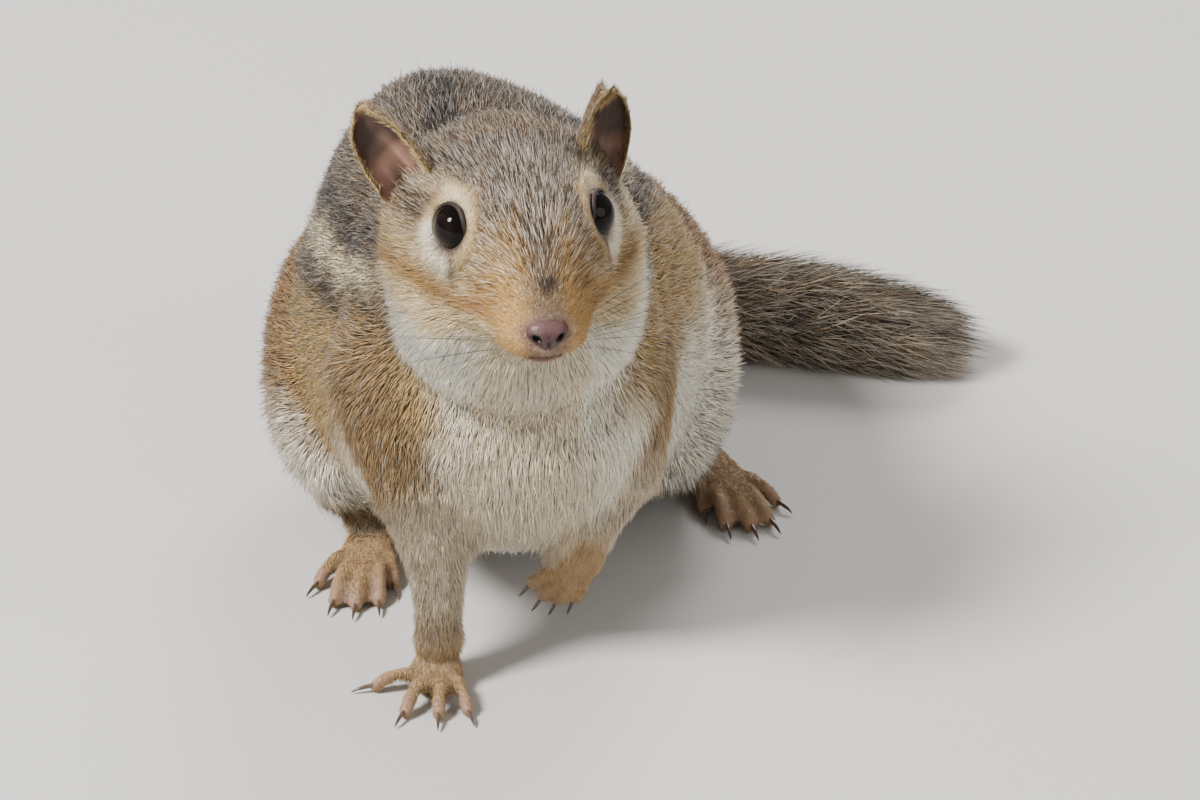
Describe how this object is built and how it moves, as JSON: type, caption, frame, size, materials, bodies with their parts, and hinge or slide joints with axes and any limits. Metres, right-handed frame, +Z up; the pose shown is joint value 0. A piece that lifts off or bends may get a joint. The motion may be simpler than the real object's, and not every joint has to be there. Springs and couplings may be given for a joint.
{
  "type": "chipmunk",
  "caption": "Life-size chipmunk as a still display model: crouched with one forepaw planted and the other lifted, head turned, bushy tail laid on the floor.",
  "frame": {"origin": "middle of the model's bounding box at floor level", "axes": "+Z up from the floor; the animal looks along -Y, its left side is at +X and its tail bends to +X behind it"},
  "size_m": [0.104, 0.1308, 0.0838],
  "materials": {
    "head": "short grizzled fur, pale stripes above and below the eye",
    "neck": "grizzled fur",
    "chest": "cream fur in front, orange-brown at the sides",
    "belly": "grey-brown fur with dark and cream stripes, white below",
    "rump": "rufous fur",
    "limb": "orange-brown fur",
    "paw": "very short orange-buff fur over the toes, bare pads",
    "tail": "long banded hair, rufous, black and frosted tips",
    "ear": "thin skin with fine short hair",
    "eye": "wet black-brown gloss",
    "nose": "bare moist pink skin",
    "claw": "dark horn, a little glossy"
  },
  "bodies": {
    "root": {"head": "head", "ear_left": "ear", "ear_right": "ear", "eye_left": "eye", "eye_right": "eye", "nose": "nose", "neck": "neck", "chest": "chest", "belly": "belly", "rump": "rump", "tail_base": "tail", "tail_brush": "tail", "upper_arm_left": "limb", "upper_arm_right": "limb", "forearm_left": "limb", "forearm_right": "limb", "forepaw_left": "paw", "forepaw_right": "paw", "thigh_left": "limb", "thigh_right": "limb", "shank_left": "limb", "shank_right": "limb", "hind_foot_left": "paw", "hind_foot_right": "paw", "claw_fore_left_1": "claw", "claw_fore_left_2": "claw", "claw_fore_left_3": "claw", "claw_fore_left_4": "claw", "claw_fore_right_1": "claw", "claw_fore_right_2": "claw", "claw_fore_right_3": "claw", "claw_fore_right_4": "claw", "claw_hind_left_1": "claw", "claw_hind_left_2": "claw", "claw_hind_left_3": "claw", "claw_hind_left_4": "claw", "claw_hind_left_5": "claw", "claw_hind_right_1": "claw", "claw_hind_right_2": "claw", "claw_hind_right_3": "claw", "claw_hind_right_4": "claw", "claw_hind_right_5": "claw"}
  },
  "joints": []
}
